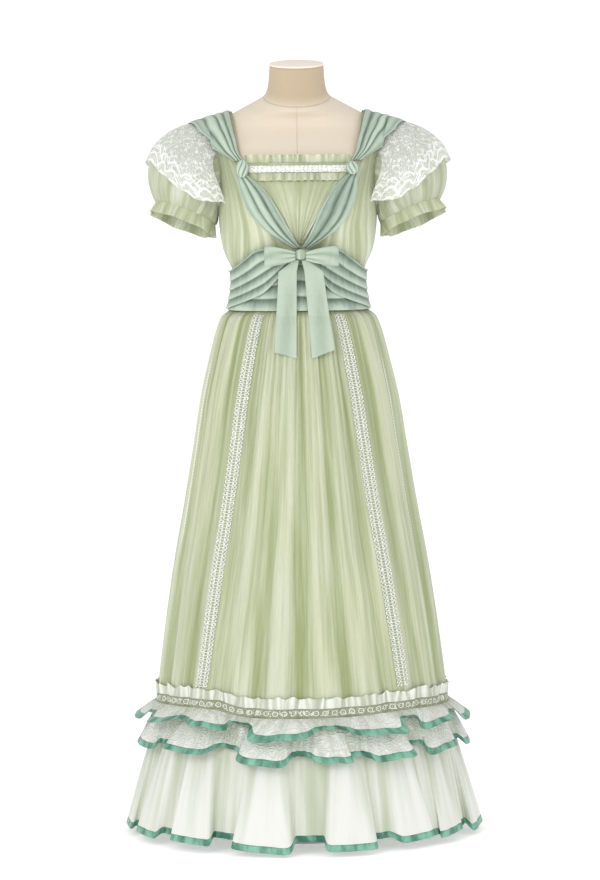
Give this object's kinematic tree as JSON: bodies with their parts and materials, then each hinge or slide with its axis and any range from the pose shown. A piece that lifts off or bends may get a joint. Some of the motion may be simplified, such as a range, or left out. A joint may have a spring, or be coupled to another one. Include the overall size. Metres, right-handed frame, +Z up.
{
  "type": "maxi dress on a dress form",
  "caption": "Long gathered dress with puff sleeves, crossed sash, bow and ruffled hem, worn by a limbless dress form on a round foot.",
  "frame": {"origin": "centre of the stand's foot on the floor, under the middle of the dress", "axes": "+Z up, +X towards the right side of the dress as seen from the front, -Y out of its front"},
  "size_m": [0.661, 0.6055, 1.4281],
  "materials": {
    "cotton": "matt crinkled cotton gauze, pale green",
    "sash": "soft sheen, sage green",
    "ribbon": "satin ribbon, mid green",
    "lace": "matt cotton lace, white",
    "linen": "matt linen cover, cream",
    "steel": "brushed"
  },
  "bodies": {
    "root": {"form_torso": "linen", "form_neck_cap": "linen", "form_pole": "steel", "form_foot": "steel", "bodice_front_left": "cotton", "bodice_front_right": "cotton", "bodice_front_centre": "cotton", "bodice_back_left": "cotton", "bodice_back_right": "cotton", "bodice_back_centre": "cotton", "frill_neck_front": "cotton", "frill_neck_back": "cotton", "lace_band_neck": "lace", "frill_neck_lower": "cotton", "waistband": "sash", "sash_wrap_left": "sash", "sash_wrap_right": "sash", "sash_front_left": "sash", "sash_back_left": "sash", "sash_shoulder_left": "sash", "sash_knot_left": "sash", "sash_front_right": "sash", "sash_back_right": "sash", "sash_shoulder_right": "sash", "sash_knot_right": "sash", "bow_knot": "sash", "bow_loop_left": "sash", "bow_loop_right": "sash", "bow_tail_left": "sash", "bow_tail_right": "sash", "sleeve_left": "cotton", "sleeve_lace_left": "lace", "sleeve_frill_left": "cotton", "sleeve_right": "cotton", "sleeve_lace_right": "lace", "sleeve_frill_right": "cotton", "skirt_front": "cotton", "skirt_back": "cotton", "lace_strip_left": "lace", "lace_strip_right": "lace", "lace_band_hem": "lace", "frill_heading": "lace", "ruffle_upper": "lace", "ribbon_ruffle_upper": "ribbon", "ruffle_lower": "lace", "ribbon_ruffle_lower": "ribbon", "flounce": "cotton", "ribbon_flounce": "ribbon"}
  },
  "joints": []
}
